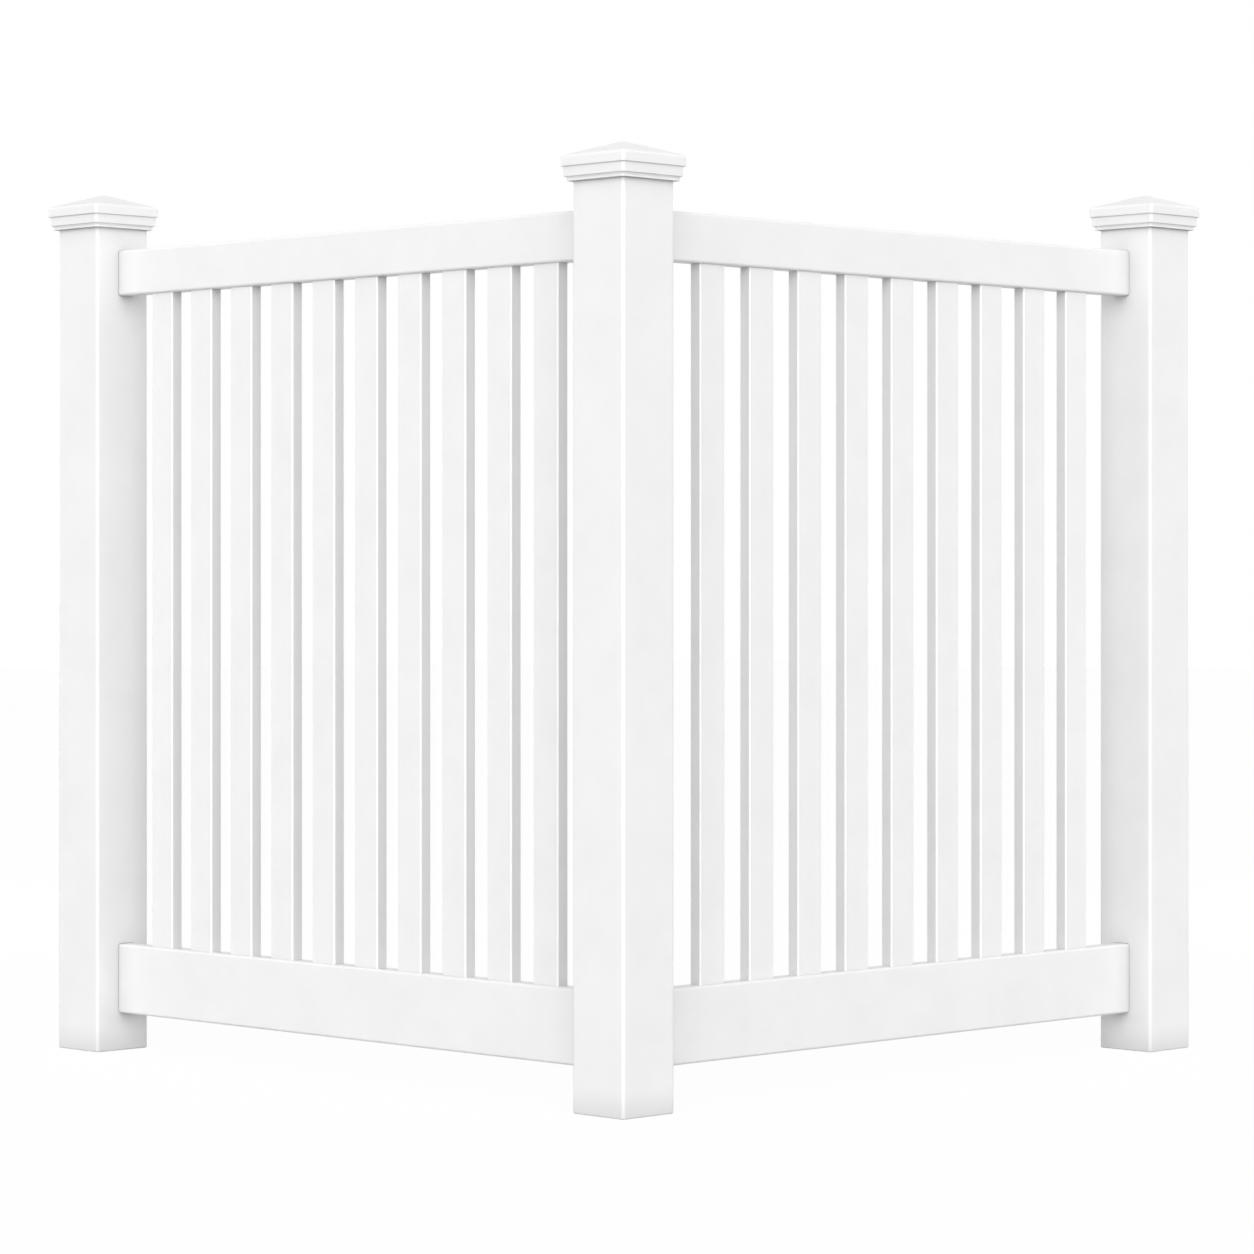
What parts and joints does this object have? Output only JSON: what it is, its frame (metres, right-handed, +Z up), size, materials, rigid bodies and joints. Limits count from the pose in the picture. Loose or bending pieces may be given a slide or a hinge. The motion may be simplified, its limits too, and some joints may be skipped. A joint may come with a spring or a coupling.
{
  "type": "vinyl picket fence corner section",
  "caption": "White vinyl fence corner: bays of square pickets in hollow rails meet at a right angle between square posts with stepped, low pyramid caps.",
  "frame": {"origin": "middle of the corner post's foot, on its lower end face", "axes": "+Z up; +X along the right-hand bay and +Y along the left-hand bay as seen from outside the corner; the fence's outer sides face -Y and -X"},
  "size_m": [1.6256, 1.6256, 1.6965],
  "materials": {
    "post": "smooth white vinyl, low sheen",
    "cap": "moulded white vinyl, low sheen",
    "rail": "smooth white vinyl, low sheen",
    "picket": "smooth white vinyl, low sheen"
  },
  "bodies": {
    "root": {"corner_post": "post", "left_end_post": "post", "right_end_post": "post", "corner_post_cap": "cap", "left_end_post_cap": "cap", "right_end_post_cap": "cap", "left_top_rail": "rail", "left_bottom_rail": "rail", "right_top_rail": "rail", "right_bottom_rail": "rail", "left_picket_01": "picket", "left_picket_02": "picket", "left_picket_03": "picket", "left_picket_04": "picket", "left_picket_05": "picket", "left_picket_06": "picket", "left_picket_07": "picket", "left_picket_08": "picket", "left_picket_09": "picket", "left_picket_10": "picket", "right_picket_01": "picket", "right_picket_02": "picket", "right_picket_03": "picket", "right_picket_04": "picket", "right_picket_05": "picket", "right_picket_06": "picket", "right_picket_07": "picket", "right_picket_08": "picket", "right_picket_09": "picket"}
  },
  "joints": []
}
